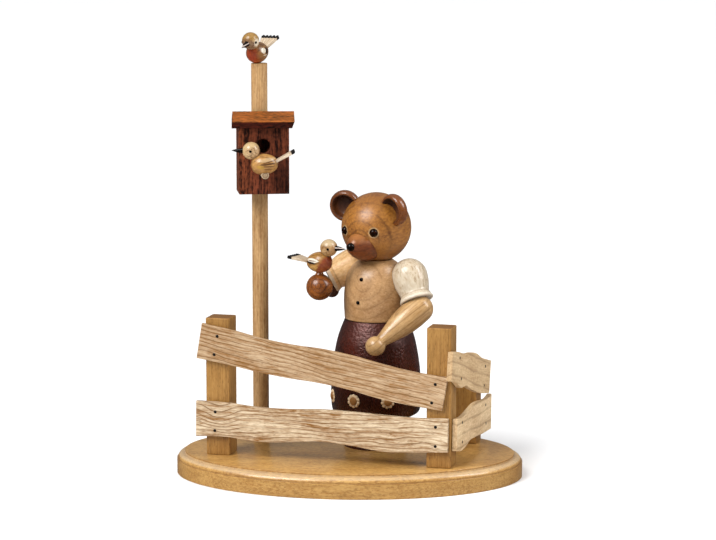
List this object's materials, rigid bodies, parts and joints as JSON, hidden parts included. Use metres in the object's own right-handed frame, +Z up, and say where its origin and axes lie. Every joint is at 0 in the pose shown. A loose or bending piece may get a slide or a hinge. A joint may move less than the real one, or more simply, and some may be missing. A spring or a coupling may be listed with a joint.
{
  "type": "wooden bear figurine",
  "caption": "Turned wooden bear in a bell skirt behind a wavy plank fence on an oval base, with a bird on its paw and a birdhouse pole with perched birds; a shelf ornament.",
  "frame": {"origin": "middle of the oval base's underside, on the surface that the ornament stands on", "axes": "+Z up, +X along the oval base to the right as seen from the fence side, -Y towards the front, where the fence stands"},
  "size_m": [0.18, 0.119, 0.2277],
  "materials": {
    "beech": "satin lacquer on golden beech",
    "ash": "matt open-grained ash",
    "dowel": "matt dowel stock",
    "walnut": "dark satin walnut",
    "roof": "satin red-brown wood",
    "skirt": "dark stain under satin lacquer",
    "honey": "satin lacquer on honey-brown wood",
    "muzzle": "satin lacquer on red-brown wood",
    "shirt": "satin lacquer on pale brown wood",
    "sleeve": "satin lacquer on cream wood",
    "forearm": "satin lacquer on golden wood",
    "paw": "satin lacquer on red-brown wood",
    "bird": "satin lacquer on yellow wood",
    "bird_head": "satin lacquer on pale wood",
    "tail": "matt pale wood with black ends",
    "petal": "matt carved pale wood",
    "black": "gloss black stain"
  },
  "bodies": {
    "root": {"base": "beech", "post_left": "beech", "post_corner": "beech", "post_rear": "beech", "plank_front_upper": "ash", "plank_front_lower": "ash", "plank_side_upper": "ash", "plank_side_lower": "ash", "pole": "dowel", "birdhouse_body": "walnut", "birdhouse_roof": "roof", "birdhouse_perch": "dowel", "bird_top_body": "bird", "bird_top_head": "bird_head", "bird_top_beak": "black", "bird_top_tail": "tail", "bird_top_peg": "dowel", "bird_perch_body": "bird", "bird_perch_head": "bird_head", "bird_perch_beak": "black", "bird_perch_tail": "tail", "bird_paw_body": "bird", "bird_paw_head": "bird_head", "bird_paw_beak": "black", "bird_paw_tail": "tail", "bird_paw_peg": "paw", "foot_plinth": "skirt", "skirt": "skirt", "rosette_1": "petal", "rosette_2": "petal", "rosette_3": "petal", "rosette_4": "petal", "rosette_5": "petal", "rosette_6": "petal", "rosette_7": "petal", "rosette_8": "petal", "waist_dowel": "dowel", "torso": "shirt", "button_upper": "black", "button_lower": "black", "neck_dowel": "dowel", "shoulder_dowel_left": "dowel", "shoulder_dowel_right": "dowel", "elbow_dowel_left": "dowel", "elbow_dowel_right": "dowel", "sleeve_left": "sleeve", "sleeve_right": "shirt", "forearm_left": "forearm", "forearm_right": "paw", "head": "honey", "muzzle": "muzzle", "nose": "black", "eye_left": "black", "eye_right": "black", "ear_left": "paw", "ear_right": "paw"}
  },
  "joints": []
}
